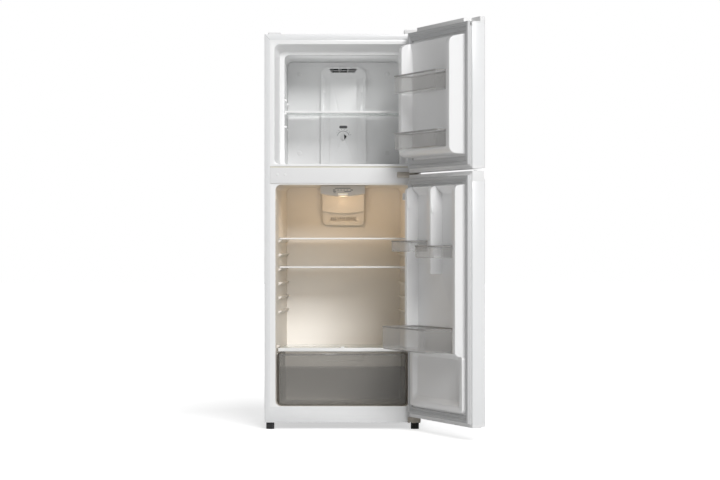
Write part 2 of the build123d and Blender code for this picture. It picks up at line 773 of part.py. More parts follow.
def door_pieces(name, span, caps):
    """Steel skin, end caps, gasket, foam and hinge bushings that both doors share."""
    low, high = span
    bottom_cap, top_cap = caps
    skin_low = low + bottom_cap
    skin_high = high - top_cap
    middle_y = (door_inner + door_outer) / 2

    with BuildPart() as skin:
        with BuildSketch(Plane.XY.offset(skin_low)) as section:
            with Locations((0, middle_y)):
                Rectangle(width, door_depth)
            fillet(section.vertices().group_by(Axis.Y)[0], door_radius)
            with BuildSketch(mode=Mode.SUBTRACT) as inside:
                with Locations((0, middle_y)):
                    Rectangle(width - 2 * sheet, door_depth - 2 * sheet)
                fillet(inside.vertices().group_by(Axis.Y)[0], door_radius - sheet)
            with Locations((0, door_inner)):
                Rectangle(width - 2 * lip, 3 * sheet, mode=Mode.SUBTRACT)
        extrude(amount=skin_high - skin_low)
    save_open(skin, f"{name}_door_skin")

    with BuildPart() as bottom:
        add(box_between((-half, door_outer, low), (half, door_inner, skin_low)))
        fillet(bottom.edges().filter_by(Axis.Z).group_by(Axis.Y)[0], door_radius)
        # the outer lower edge is relieved as a finger pull
        pull = box_between((-half, door_outer, low), (half, door_outer + 14, low + 3.6))
        add(pull, mode=Mode.SUBTRACT)
        with Locations((hinge_x, hinge_y, low)):
            Hole(radius=bushing_radius)
    save_open(bottom, f"{name}_door_bottom_cap")

    with BuildPart() as top:
        add(box_between((-half, door_outer, skin_high), (half, door_inner, high)))
        fillet(top.edges().filter_by(Axis.Z).group_by(Axis.Y)[0], door_radius)
        if name == "freezer":
            for side, recess_front in ((-1, door_outer + 20), (1, door_outer + 4)):
                x_low, x_high = sorted((side * half, side * (half - recess_length)))
                recess = box_between((x_low, recess_front, recess_floor), (x_high, door_inner, high))
                add(recess, mode=Mode.SUBTRACT)
        else:
            # grip scooped out of the outer upper edge
            with BuildSketch(Plane.YZ.offset(-half)):
                with BuildLine():
                    Polyline(
                        (door_outer - 1, high - 30),
                        (door_outer + 3.5, high - 30),
                        (door_outer + 6, high - 18),
                        (door_outer + 6, high + 1),
                        (door_outer - 1, high + 1),
                        close=True,
                    )
                make_face()
            extrude(amount=width, mode=Mode.SUBTRACT)
            # plug over the spare hinge hole
            with BuildSketch(Plane.XY.offset(high)):
                with Locations((-hinge_x, hinge_y)):
                    Circle(6)
            extrude(amount=2.5)
        with Locations((hinge_x, hinge_y, high)):
            Hole(radius=bushing_radius)
    save_open(top, f"{name}_door_top_cap")

    with BuildPart() as gasket:
        gasket_low = low + gasket_inset
        gasket_high = min(high - gasket_inset, cabinet_top - 1)  # clear of the top hinge
        with BuildSketch(front_plane(gasket_front)):
            with Locations((0, (gasket_low + gasket_high) / 2)):
                outer_width = width - 2 * gasket_inset
                outer_height = gasket_high - gasket_low
                inner_width = outer_width - 2 * gasket_width
                inner_height = outer_height - 2 * gasket_width
                RectangleRounded(outer_width, outer_height, 3)
                RectangleRounded(inner_width, inner_height, 3, mode=Mode.SUBTRACT)
        extrude(amount=gasket_front - liner_face)
    save_open(gasket, f"{name}_door_gasket")

    if name == "freezer":
        sleeves = ((low, low + 15), (recess_floor - 14, recess_floor))
    else:
        sleeves = ((low, low + 15), (high - 15, high))

    with BuildPart() as bushings:
        for sleeve_low, sleeve_high in sleeves:
            with BuildSketch(Plane.XY.offset(sleeve_low)):
                with Locations((hinge_x, hinge_y)):
                    Circle(bushing_radius)
                    Circle(pin_radius + running, mode=Mode.SUBTRACT)
            extrude(amount=sleeve_high - sleeve_low)
    save_open(bushings, f"{name}_door_bushings")

    return skin_low, skin_high


def raised_block(low, high, tip, dyke_outer, low_draft, high_draft, rounding, inset):
    """The part of a door liner that stands into the compartment, before its pockets are cut."""
    with BuildPart() as block:
        with BuildSketch(Plane.YZ.offset(-dyke_outer + inset)) as profile:
            with BuildLine():
                Polyline(
                    (door_inner, low + inset),
                    (tip - inset, low + low_draft + inset),
                    (tip - inset, high - high_draft - inset),
                    (door_inner, high - inset),
                    close=True,
                )
            make_face()
            fillet(profile.vertices().group_by(Axis.X)[-1], rounding - inset)
        extrude(amount=2 * (dyke_outer - inset))
        if not inset:
            ends = block.faces().sort_by(Axis.X)
            edges = ends[0].edges() + ends[-1].edges()
            fillet(edges.filter_by(lambda edge: edge.center().Y > door_inner + 1), 4)
    return block.part


def pocket(x_low, x_high, low, floor_y, ceiling, grow):
    """Recess between the upright ribs; its ceiling is (height, rise, run), sloping into the door."""
    high, rise, run = ceiling
    reach = 60  # far enough to come out in front of the ribs
    start = high - rise
    lift = grow * hypot(rise, run) / run  # how far the grown ceiling stands above the true one
    with BuildPart() as space:
        with BuildSketch(Plane.YZ.offset(x_low - grow)):
            with BuildLine():
                Polyline(
                    (floor_y + reach, low - grow),
                    (floor_y - grow, low - grow),
                    (floor_y - grow, start + lift - grow * rise / run),
                    (floor_y + reach, start + lift + reach * rise / run),
                    close=True,
                )
            make_face()
        extrude(amount=x_high - x_low + 2 * grow)
    return space.part


def bin_boss(x, side, y, top):
    """Upright capsule on a rib's face that carries a bin's ear."""
    with BuildPart() as boss:
        with BuildSketch(Plane.YZ.offset(x)):
            with Locations((y, top - boss_height / 2)):
                SlotOverall(boss_height, 13, rotation=90)
        extrude(amount=side * boss_raise)
    return boss.part


def liner_hollow(raised, pockets):
    """Space inside the upright ribs and behind the pockets, which the foam fills."""
    hollow = raised_block(*raised, door_liner)
    for space in pockets:
        hollow = hollow - pocket(*space, door_liner)
    return hollow


def door_liner_piece(span, raised, pockets, bosses, extra=None):
    """Thin moulded liner: flat border, upright ribs and the pockets between them."""
    low, high = span
    with BuildPart() as liner:
        border = 10
        edge = half - border
        add(box_between((-edge, door_inner, low + border), (edge, liner_face, high - border)))
        add(raised_block(*raised, 0))
        for space in pockets:
            floor_back = space[3] - door_liner
            if floor_back < door_inner:
                pan = box_between((-half, floor_back, low), (half, door_inner, high))
                add(pocket(*space, door_liner) & pan)
        if extra:
            add(extra[0])
            add(extra[1], mode=Mode.SUBTRACT)
        add(liner_hollow(raised, pockets), mode=Mode.SUBTRACT)
        for space in pockets:
            add(pocket(*space, 0), mode=Mode.SUBTRACT)
        for boss in bosses:
            add(bin_boss(*boss))
    return liner


def door_foam(raised, pockets, extra=None):
    """Foam between a door's skin and its liner, and inside the liner's ribs."""
    with BuildPart() as foam:
        middle_y = door_outer + door_radius
        for inset, y_low, y_high in (
            (door_radius + sheet, door_outer + sheet, middle_y),
            (sheet, middle_y, door_inner - sheet),
            (lip, door_inner - sheet, door_inner),
        ):
            add(box_between((-half + inset, y_low, skin_low), (half - inset, y_high, skin_high)))
        for space in pockets:
            add(pocket(*space, door_liner), mode=Mode.SUBTRACT)
        with Locations((hinge_x, hinge_y, skin_high)):
            Hole(radius=bushing_radius)
        add(liner_hollow(raised, pockets))
        if extra:
            add(extra)
    return foam


freezer_ledge = 1064.7
freezer_boss_top = 1334.7
freezer_boss_y = door_inner + freezer_raise - 10
freezer_inner = freezer_dyke[0]
freezer_raised = (1036, 1474.5, door_inner + freezer_raise, freezer_dyke[1], 4, 14, 27)
freezer_pockets = [(-freezer_inner, freezer_inner, freezer_ledge, freezer_pocket, (1462, 26, 7))]
skin_low, skin_high = door_pieces("freezer", freezer_door, freezer_caps)

freezer_door_liner = door_liner_piece(
    (freezer_door[0], 1508),
    freezer_raised,
    freezer_pockets,
    [(side * freezer_inner, -side, freezer_boss_y, freezer_boss_top) for side in (-1, 1)],
)
save_open(freezer_door_liner, "freezer_door_liner")
save_open(door_foam(freezer_raised, freezer_pockets), "freezer_door_foam")

skin_low, skin_high = door_pieces("fresh_food", fresh_door, fresh_caps)
fresh_low = 300
fresh_top = 930
fresh_inner = fresh_dyke[0]
fresh_raised = (fresh_low, fresh_top, door_inner + fresh_raise, fresh_dyke[1], 3, 8, 18)
middle_low = 600
shelf_gap = fresh_low + 14
fresh_pockets = [
    (-fresh_inner, fresh_inner, shelf_gap, fresh_pocket, (middle_low, 0, 1)),
    (middle_dyke, fresh_inner, middle_low - 1, fresh_pocket, (929, 32, 30)),
    (-fresh_inner, -middle_dyke, middle_low - 1, fresh_pocket, (929, 32, 30)),
]
fresh_boss_y = door_inner + fresh_raise - 8
hinge_boss_top = 711.7
free_boss_top = 693.7
gallon_boss_top = 390.7
spare_rise = 155
fresh_bosses = [
    (fresh_inner, -1, fresh_boss_y, hinge_boss_top),
    (middle_dyke, 1, fresh_boss_y, hinge_boss_top),
    (fresh_inner, -1, fresh_boss_y, hinge_boss_top + spare_rise),
    (middle_dyke, 1, fresh_boss_y, hinge_boss_top + spare_rise),
    (-fresh_inner, 1, fresh_boss_y, free_boss_top),
    (-middle_dyke, -1, fresh_boss_y, free_boss_top),
    (-fresh_inner, 1, fresh_boss_y, free_boss_top + spare_rise),
    (-middle_dyke, -1, fresh_boss_y, free_boss_top + spare_rise),
    (fresh_inner, -1, fresh_boss_y, gallon_boss_top),
    (-fresh_inner, 1, fresh_boss_y, gallon_boss_top),
]


frame_low = 96
frame_high = fresh_low + 8


def lower_frame(inset):
    """Low raised border of the fresh-food door below the deep bin."""
    with BuildPart() as block:
        with BuildSketch(front_plane(door_inner)):
            with Locations((0, (frame_low + frame_high) / 2)):
                RectangleRounded(2 * (252 - inset), frame_high - frame_low - 2 * inset, 16)
        extrude(amount=-(lower_raise - inset), taper=12)
    return block.part


def lower_pocket(grow):
    """Shallow panel sunk into the low border, with sloping sides."""
    with BuildPart() as space:
        for y, half_width, low, high in (
            (door_inner + lower_raise, 222, 122, 300),
            (door_inner + 4 - grow, 208, 140, 290),
        ):
            with BuildSketch(front_plane(y)):
                with Locations((0, (low + high) / 2)):
                    RectangleRounded(2 * (half_width + grow), high - low + 2 * grow, 20)
        loft(ruled=True)
    return space.part


fresh_door_liner = door_liner_piece(
    fresh_door,
    fresh_raised,
    fresh_pockets,
    fresh_bosses,
    (lower_frame(0), lower_pocket(0)),
)
frame_hollow = lower_frame(door_liner) - lower_pocket(door_liner)
with fresh_door_liner:
    add(frame_hollow, mode=Mode.SUBTRACT)
save_open(fresh_door_liner, "fresh_food_door_liner")
save_open(door_foam(fresh_raised, fresh_pockets, frame_hollow), "fresh_food_door_foam")


def door_bin(name, span_x, span_y, span_z, boss_y, boss_top=None):
    """Clear open-topped bin with a thicker rail, carried on ears where it hangs between ribs."""
    x_low, x_high = span_x
    y_back, y_front = span_y
    low, high = span_z
    middle = ((x_low + x_high) / 2, (y_back + y_front) / 2)
    long = x_high - x_low
    deep = y_front - y_back
    with BuildPart() as tray:
        with BuildSketch(Plane.XY.offset(low)):
            with Locations(middle):
                RectangleRounded(long, deep, 14)
        extrude(amount=high - low)
        fillet(tray.faces().sort_by(Axis.Z)[0].edges(), 7)
        with BuildSketch(Plane.XY.offset(high - 5)):
            with Locations(middle):
                RectangleRounded(long + 2.4, deep + 2.4, 15)
        extrude(amount=5)
        with BuildPart(mode=Mode.PRIVATE) as inside:
            with BuildSketch(Plane.XY.offset(low + bin_wall)):
                with Locations(middle):
                    RectangleRounded(long - 2 * bin_wall, deep - 2 * bin_wall, 12)
            extrude(amount=high - low)
            fillet(inside.faces().sort_by(Axis.Z)[0].edges(), 5)
        add(inside, mode=Mode.SUBTRACT)
        if boss_top:
            ear_low = boss_top + gap
            for x_near, x_far in ((x_high - 1, x_high + ear_reach), (x_low - ear_reach, x_low + 1)):
                add(box_between((x_near, boss_y - 8, ear_low), (x_far, boss_y + 8, ear_low + 10)))
    save_open(tray, name)


rib_gap = boss_raise + 1  # between a bin's end and the rib beside it
ear_reach = rib_gap - 2 * gap
freezer_end = freezer_inner - rib_gap
freezer_span_y = (freezer_pocket + 2, door_inner + 102)
fresh_end = fresh_inner - rib_gap
middle_end = middle_dyke + rib_gap
fresh_back_y = fresh_pocket + 2
freezer_span = ((-freezer_end, freezer_end), freezer_span_y)
door_bin("freezer_upper_bin", *freezer_span, (1277, 1345), freezer_boss_y, freezer_boss_top)
door_bin("freezer_lower_bin", *freezer_span, (freezer_ledge + gap, 1129), freezer_boss_y)
fresh_span_y = (fresh_back_y, door_inner + 112)
hinge_span = ((middle_end, fresh_end), fresh_span_y)
free_span = ((-fresh_end, -middle_end), fresh_span_y)
gallon_span = ((-fresh_end, fresh_end), (fresh_back_y, door_inner + 149))
door_bin("hinge_side_bin", *hinge_span, (682, 724), fresh_boss_y, hinge_boss_top)
door_bin("free_side_bin", *free_span, (660, 706), fresh_boss_y, free_boss_top)
door_bin("gallon_bin", *gallon_span, (316, 403), fresh_boss_y, gallon_boss_top)

# ---- Feet and machine compartment ----


def foot(x, y, top, stem):
    """Round foot pad, with a threaded stem where it can be levelled."""
    with BuildPart() as pad:
        with BuildSketch(Plane.XY):
            with Locations((x, y)):
                Circle(foot_radius)
        extrude(amount=top)
        if stem:
            with BuildSketch(Plane.XY.offset(top)):
                with Locations((x, y)):
                    Circle(4)
            extrude(amount=14)
    return pad.part


for name, side in (("left_front_foot", -1), ("right_front_foot", 1)):
    with BuildPart() as front_foot:
        add(foot(side * foot_x, -foot_y, cabinet_bottom - 0.5, True))
    save(front_foot, name)

with BuildPart() as rear_feet:
    add(foot(-foot_x, foot_y, cabinet_bottom, False))
    add(foot(foot_x, foot_y, cabinet_bottom, False))
save(rear_feet, "rear_feet")

with BuildPart() as compressor:
    pan_top = cabinet_bottom + pan_sheet
    compressor_plane = Plane(origin=(-110, 170, pan_top), x_dir=(1, 0, 0), z_dir=(0, -1, 0))
    with BuildSketch(compressor_plane):
        with BuildLine():
            Line((0, 0), (0, 176))
            ThreePointArc((0, 176), (46, 160), (68, 118))
            Line((68, 118), (68, 40))
            ThreePointArc((68, 40), (58, 18), (36, 10))
            Polyline((36, 10), (36, 0), (0, 0))
        make_face()
    revolve(axis=Axis((-110, 170, 0), (0, 0, 1)))
    # mounting foot plate
    add(box_between((-205, 120, pan_top), (-15, 220, pan_top + 3)))
    # suction and discharge tubes
    with BuildSketch(Plane.XY.offset(pan_top + 120)):
        with Locations((-60, 150), (-70, 205)):
            Circle(4)
    extrude(amount=60)
save(compressor, "compressor")

with BuildPart() as drain_pan:
    add(box_between((20, 90, pan_top), (240, 262, pan_top + 46)))
    fillet(drain_pan.edges().filter_by(Axis.Z), 14)
    add(
        box_between((23, 93, pan_top + 3), (237, 259, pan_top + 47)),
        mode=Mode.SUBTRACT,
    )
save(drain_pan, "drain_pan")

with BuildPart() as mains_inlet:
    with BuildSketch(front_plane(back)):
        with Locations((inlet_x, inlet_z)):
            Circle(8)
            Circle(3.5, mode=Mode.SUBTRACT)
    extrude(amount=12)
    with BuildSketch(front_plane(back)):
        with Locations((inlet_x, inlet_z)):
            Circle(12)
            Circle(3.5, mode=Mode.SUBTRACT)
    extrude(amount=-5)
save(mains_inlet, "mains_inlet")
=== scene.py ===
import json
import math
import bpy
from mathutils import Matrix, Vector
from mathutils.bvhtree import BVHTree


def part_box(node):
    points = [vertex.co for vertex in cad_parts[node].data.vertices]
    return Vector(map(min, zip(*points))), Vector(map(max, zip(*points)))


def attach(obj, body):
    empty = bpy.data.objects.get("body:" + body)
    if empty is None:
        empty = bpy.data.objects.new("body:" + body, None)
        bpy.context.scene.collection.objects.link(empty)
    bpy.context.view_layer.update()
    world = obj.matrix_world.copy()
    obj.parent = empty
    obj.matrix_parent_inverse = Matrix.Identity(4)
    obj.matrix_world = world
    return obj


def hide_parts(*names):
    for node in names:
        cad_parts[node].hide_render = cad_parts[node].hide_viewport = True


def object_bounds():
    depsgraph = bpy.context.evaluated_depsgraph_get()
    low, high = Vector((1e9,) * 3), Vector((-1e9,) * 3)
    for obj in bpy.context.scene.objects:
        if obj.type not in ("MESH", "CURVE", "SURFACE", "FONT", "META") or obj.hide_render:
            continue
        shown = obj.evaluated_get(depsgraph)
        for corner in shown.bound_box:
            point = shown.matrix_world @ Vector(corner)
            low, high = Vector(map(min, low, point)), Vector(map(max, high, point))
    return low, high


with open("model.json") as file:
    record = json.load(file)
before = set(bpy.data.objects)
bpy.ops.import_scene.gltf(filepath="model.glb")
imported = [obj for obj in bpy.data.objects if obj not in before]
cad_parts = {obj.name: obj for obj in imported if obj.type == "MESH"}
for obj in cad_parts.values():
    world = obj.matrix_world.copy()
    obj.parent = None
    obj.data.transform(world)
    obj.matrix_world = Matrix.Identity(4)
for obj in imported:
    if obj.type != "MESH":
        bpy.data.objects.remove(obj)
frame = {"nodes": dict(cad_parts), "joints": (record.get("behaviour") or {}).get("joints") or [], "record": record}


def plainLists(corners):
    return [[float(value) for value in corner] for corner in corners]


cadSize = plainLists(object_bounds())
nodes = frame["nodes"]
joints = {joint["name"]: joint for joint in frame["joints"]}
doorHinge = joints["fresh_food_door_hinge"]
restAngle = math.radians(-doorHinge["range_deg"][0])  # closed is the low end of the range
hingePoint = Vector(doorHinge["pos_m"])
hingePoint.z = 0
cabinetLow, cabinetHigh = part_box("cabinet_shell")
frontY = cabinetLow.y
mm = 0.001
mergeDistance = 0.01 * mm
flatAngle = math.radians(0.6)  # faces that differ by less than this count as one flat area


def deselectAll():
    if bpy.context.object and bpy.context.object.mode != "OBJECT":
        bpy.ops.object.mode_set(mode="OBJECT")
    bpy.ops.object.select_all(action="DESELECT")


def activate(piece):
    deselectAll()
    piece.select_set(True)
    bpy.context.view_layer.objects.active = piece


def settle(piece):
    # object back to the origin, place kept in the mesh
    activate(piece)
    bpy.ops.object.transform_apply(location=True, rotation=True, scale=True)
    return piece


def addBox(name, low, high):
    low, high = Vector(low), Vector(high)
    deselectAll()
    bpy.ops.mesh.primitive_cube_add(size=1, location=(low + high) / 2, scale=high - low)
    piece = bpy.context.object
    piece.name = name
    return settle(piece)


def selectFaces(piece, test):
    # leaves the piece in edit mode with only the wanted faces picked
    activate(piece)
    bpy.ops.object.mode_set(mode="EDIT")
    bpy.ops.mesh.select_mode(type="FACE")
    bpy.ops.mesh.select_all(action="DESELECT")
    bpy.ops.object.mode_set(mode="OBJECT")
    for face in piece.data.polygons:
        face.select = test(face)
    bpy.ops.object.mode_set(mode="EDIT")


def selectEdges(piece, test):
    activate(piece)
    bpy.ops.object.mode_set(mode="EDIT")
    bpy.ops.mesh.select_mode(type="EDGE")
    bpy.ops.mesh.select_all(action="DESELECT")
    bpy.ops.object.mode_set(mode="OBJECT")
    points = piece.data.vertices
    for edge in piece.data.edges:
        edge.select = test(points[edge.vertices[0]].co, points[edge.vertices[1]].co)
    bpy.ops.object.mode_set(mode="EDIT")


def facing(direction, limit=0.9):
    direction = Vector(direction)
    return lambda face: face.normal.dot(direction) > limit


def applyModifier(piece, kind, **settings):
    activate(piece)
    modifier = piece.modifiers.new(kind.title(), kind)
    for key, value in settings.items():
        setattr(modifier, key, value)
    bpy.ops.object.modifier_apply(modifier=modifier.name)


def soften(piece, width, segments=2, angle=32):
    applyModifier(piece, "BEVEL", width=width, segments=segments, limit_method="ANGLE",
                  angle_limit=math.radians(angle), use_clamp_overlap=True)
    smooth(piece)


def smooth(piece, angle=34):
    activate(piece)
    bpy.ops.object.shade_smooth_by_angle(angle=math.radians(angle))


def copyNode(node, name):
    # a merged copy of a CAD node, with flat areas made whole again
    piece = bpy.data.objects.new(name, nodes[node].data.copy())
    bpy.context.scene.collection.objects.link(piece)
    piece.data.materials.clear()
    activate(piece)
    bpy.ops.object.mode_set(mode="EDIT")
    bpy.ops.mesh.select_all(action="SELECT")
    bpy.ops.mesh.customdata_custom_splitnormals_clear()
    bpy.ops.mesh.remove_doubles(threshold=mergeDistance)
    bpy.ops.mesh.dissolve_limited(angle_limit=flatAngle)
    bpy.ops.object.mode_set(mode="OBJECT")
    return piece


def joinPieces(pieces, name):
    deselectAll()
    for piece in pieces:
        piece.select_set(True)
    bpy.context.view_layer.objects.active = pieces[0]
    bpy.ops.object.join()
    pieces[0].name = name
    return pieces[0]


swingMatrix = (Matrix.Translation(hingePoint) @ Matrix.Rotation(restAngle, 4, "Z")
               @ Matrix.Translation(-hingePoint))


def swing(piece):
    # a door's piece is built closed, then turned to the resting angle
    piece.matrix_world = swingMatrix @ piece.matrix_world
    return settle(piece)


def closedBox(node):
    # corners of a door's node as they are with the door shut
    back = swingMatrix.inverted()
    points = [back @ vertex.co for vertex in nodes[node].data.vertices]
    low = Vector([min(point[i] for point in points) for i in range(3)])
    high = Vector([max(point[i] for point in points) for i in range(3)])
    return low, high


def finishPiece(piece, material, body, slot, *replaced):
    piece.data.materials.clear()
    piece.data.materials.append(material)
    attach(piece, body)
    if replaced:
        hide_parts(*replaced)
    return piece


def newGroup(name, inputs, outputs):
    group = bpy.data.node_groups.new(name, "ShaderNodeTree")
    for label, kind, value in inputs:
        socket = group.interface.new_socket(name=label, in_out="INPUT", socket_type=kind)
        socket.default_value = value
    for label, kind in outputs:
        group.interface.new_socket(name=label, in_out="OUTPUT", socket_type=kind)
    start = group.nodes.new("NodeGroupInput")
    end = group.nodes.new("NodeGroupOutput")
    return group, start, end


def buildGrainGroup():
    # fine moulded or painted grain: drives roughness and the height of a bump
    group, start, end = newGroup(
        "fineGrain",
        [("Scale", "NodeSocketFloat", 900.0), ("Roughness", "NodeSocketFloat", 0.35),
         ("Spread", "NodeSocketFloat", 0.08)],
        [("Roughness", "NodeSocketFloat"), ("Height", "NodeSocketFloat")])
    place = group.nodes.new("ShaderNodeTexCoord")
    grain = group.nodes.new("ShaderNodeTexNoise")
    grain.inputs["Detail"].default_value = 4
    broad = group.nodes.new("ShaderNodeTexNoise")
    broad.inputs["Scale"].default_value = 7
    broad.inputs["Detail"].default_value = 3
    centred = group.nodes.new("ShaderNodeMath")
    centred.operation = "SUBTRACT"
    centred.inputs[1].default_value = 0.5
    spread = group.nodes.new("ShaderNodeMath")
    spread.operation = "MULTIPLY_ADD"
    link = group.links.new
    link(place.outputs["Object"], grain.inputs["Vector"])
    link(place.outputs["Object"], broad.inputs["Vector"])
    link(start.outputs["Scale"], grain.inputs["Scale"])
    link(broad.outputs["Fac"], centred.inputs[0])
    link(centred.outputs[0], spread.inputs[0])
    link(start.outputs["Spread"], spread.inputs[1])
    link(start.outputs["Roughness"], spread.inputs[2])
    link(spread.outputs[0], end.inputs["Roughness"])
    link(grain.outputs["Fac"], end.inputs["Height"])
    return group


def buildToneGroup():
    # slow change of tone over a large moulding, and a trace of dust on what faces up
    group, start, end = newGroup(
        "toneShift",
        [("Color", "NodeSocketColor", (0.8, 0.8, 0.8, 1)), ("Drift", "NodeSocketFloat", 0.05),
         ("Dust", "NodeSocketFloat", 0.1), ("Dust Color", "NodeSocketColor", (0.55, 0.53, 0.5, 1))],
        [("Color", "NodeSocketColor")])
    place = group.nodes.new("ShaderNodeTexCoord")
    slow = group.nodes.new("ShaderNodeTexNoise")
    slow.inputs["Scale"].default_value = 3.5
    slow.inputs["Detail"].default_value = 2
    dark = group.nodes.new("ShaderNodeMix")
    dark.data_type = "RGBA"
    dark.blend_type = "MULTIPLY"
    dark.inputs[7].default_value = (0.75, 0.75, 0.76, 1)
    amount = group.nodes.new("ShaderNodeMath")
    amount.operation = "MULTIPLY"
    surface = group.nodes.new("ShaderNodeNewGeometry")
    split = group.nodes.new("ShaderNodeSeparateXYZ")
    upward = group.nodes.new("ShaderNodeMapRange")
    upward.inputs["From Min"].default_value = 0.8
    upward.inputs["From Max"].default_value = 1.0
    specks = group.nodes.new("ShaderNodeTexNoise")
    specks.inputs["Scale"].default_value = 60
    specks.inputs["Detail"].default_value = 5
    patches = group.nodes.new("ShaderNodeMath")
    patches.operation = "MULTIPLY"
    dustAmount = group.nodes.new("ShaderNodeMath")
    dustAmount.operation = "MULTIPLY"
    dusty = group.nodes.new("ShaderNodeMix")
    dusty.data_type = "RGBA"
    link = group.links.new
    link(place.outputs["Object"], slow.inputs["Vector"])
    link(place.outputs["Object"], specks.inputs["Vector"])
    link(slow.outputs["Fac"], amount.inputs[0])
    link(start.outputs["Drift"], amount.inputs[1])
    link(amount.outputs[0], dark.inputs[0])
    link(start.outputs["Color"], dark.inputs[6])
    link(surface.outputs["Normal"], split.inputs[0])
    link(split.outputs["Z"], upward.inputs["Value"])
    link(upward.outputs["Result"], patches.inputs[0])
    link(specks.outputs["Fac"], patches.inputs[1])
    link(patches.outputs[0], dustAmount.inputs[0])
    link(start.outputs["Dust"], dustAmount.inputs[1])
    link(dustAmount.outputs[0], dusty.inputs[0])
    link(dark.outputs[2], dusty.inputs[6])
    link(start.outputs["Dust Color"], dusty.inputs[7])
    link(dusty.outputs[2], end.inputs["Color"])
    return group


grainGroup = buildGrainGroup()
toneGroup = buildToneGroup()
print("groups ready")

defaultFinish = {
    "roughness": 0.35,
    "spread": 0.08,
    "grainScale": 900,
    "grainDepth": 0.00004,
    "bump": 0.25,
    "drift": 0.06,
    "dust": 0.05,
}

finishes = {
    "whiteEnamel": {
        "color": (0.78, 0.785, 0.79), "roughness": 0.3, "grainScale": 420, "bump": 0.12,
        "sockets": {"Coat Weight": 0.3, "Coat Roughness": 0.15}},
    "whiteMoulding": {"color": (0.78, 0.78, 0.78), "roughness": 0.36},
    "linerSheet": {
        "color": (0.84, 0.84, 0.84), "roughness": 0.3, "grainScale": 500, "bump": 0.1,
        "sockets": {"Coat Weight": 0.15, "Coat Roughness": 0.2}},
    # painted light: white liner plastic tinted warm and a little darker, standing in for the compartment lamp
    # shining on it
    "linerSheetPaintedLampLight": {
        "color": (0.80, 0.75, 0.68), "roughness": 0.3, "grainScale": 500, "bump": 0.1,
        "sockets": {"Coat Weight": 0.15, "Coat Roughness": 0.2}},
    "glossTrim": {"color": (0.88, 0.88, 0.875), "roughness": 0.22, "bump": 0.08},
    "greyGasket": {
        "color": (0.56, 0.565, 0.57), "roughness": 0.6, "grainScale": 1400, "bump": 0.35},
    "platedSteel": {
        "color": (0.42, 0.385, 0.34), "roughness": 0.36, "spread": 0.2, "grainScale": 700,
        "sockets": {"Metallic": 0.85}},
    "galvanisedSheet": {
        "color": (0.45, 0.47, 0.48), "roughness": 0.42, "spread": 0.3, "drift": 0.5,
        "sockets": {"Metallic": 0.8}},
    "rigidFoam": {"color": (0.70, 0.67, 0.58), "roughness": 0.95, "grainScale": 300, "bump": 0.7},
    "blackMoulding": {
        "color": (0.05, 0.05, 0.052), "roughness": 0.5, "grainScale": 1100, "bump": 0.4},
    "satinBlackPaint": {"color": (0.014, 0.014, 0.016), "roughness": 0.34, "bump": 0.15},
    "bareAluminium": {"color": (0.66, 0.67, 0.68), "roughness": 0.32, "spread": 0.15,
                      "sockets": {"Metallic": 1.0}},
    "naturalNylon": {"color": (0.68, 0.67, 0.64), "roughness": 0.5},
    "seamShade": {"color": (0.30, 0.30, 0.31), "roughness": 0.5, "bump": 0.05},
    "greyInk": {"color": (0.10, 0.10, 0.105), "roughness": 0.5, "bump": 0.05},
    "shelfGlass": {"color": (0.72, 0.80, 0.77), "roughness": 0.04, "spread": 0.02, "bump": 0.0,
                   "drift": 0.0, "dust": 0.0, "alpha": (0.06, 0.75)},
    "clearStyrene": {"color": (0.62, 0.61, 0.595), "roughness": 0.08, "spread": 0.04, "bump": 0.02,
                     "drift": 0.0, "dust": 0.0, "alpha": (0.04, 0.6)},
    "styreneRail": {"color": (0.36, 0.35, 0.34), "roughness": 0.12, "spread": 0.04, "bump": 0.03,
                    "drift": 0.0, "dust": 0.0, "alpha": (0.5, 0.95)},
    "smokedStyrene": {"color": (0.36, 0.35, 0.33), "roughness": 0.18, "spread": 0.06, "bump": 0.05,
                      "drift": 0.2, "dust": 0.0, "alpha": (0.2, 0.85)},
    "smokedRail": {"color": (0.25, 0.245, 0.235), "roughness": 0.16, "spread": 0.06, "bump": 0.05,
                   "drift": 0.2, "dust": 0.0, "alpha": (0.6, 0.95)},
    "lampGlass": {"color": (1.0, 0.9, 0.72), "roughness": 0.4, "dust": 0.0,
                  "sockets": {"Emission Color": (1.0, 0.78, 0.5, 1), "Emission Strength": 3.0}},
    # painted glow: the dial emits light of its own in place of the lamp light shining through it
    "dialPaintedGlow": {"color": (0.92, 0.88, 0.8), "roughness": 0.3, "dust": 0.0,
                "sockets": {"Emission Color": (1.0, 0.88, 0.7, 1), "Emission Strength": 0.35}},
}


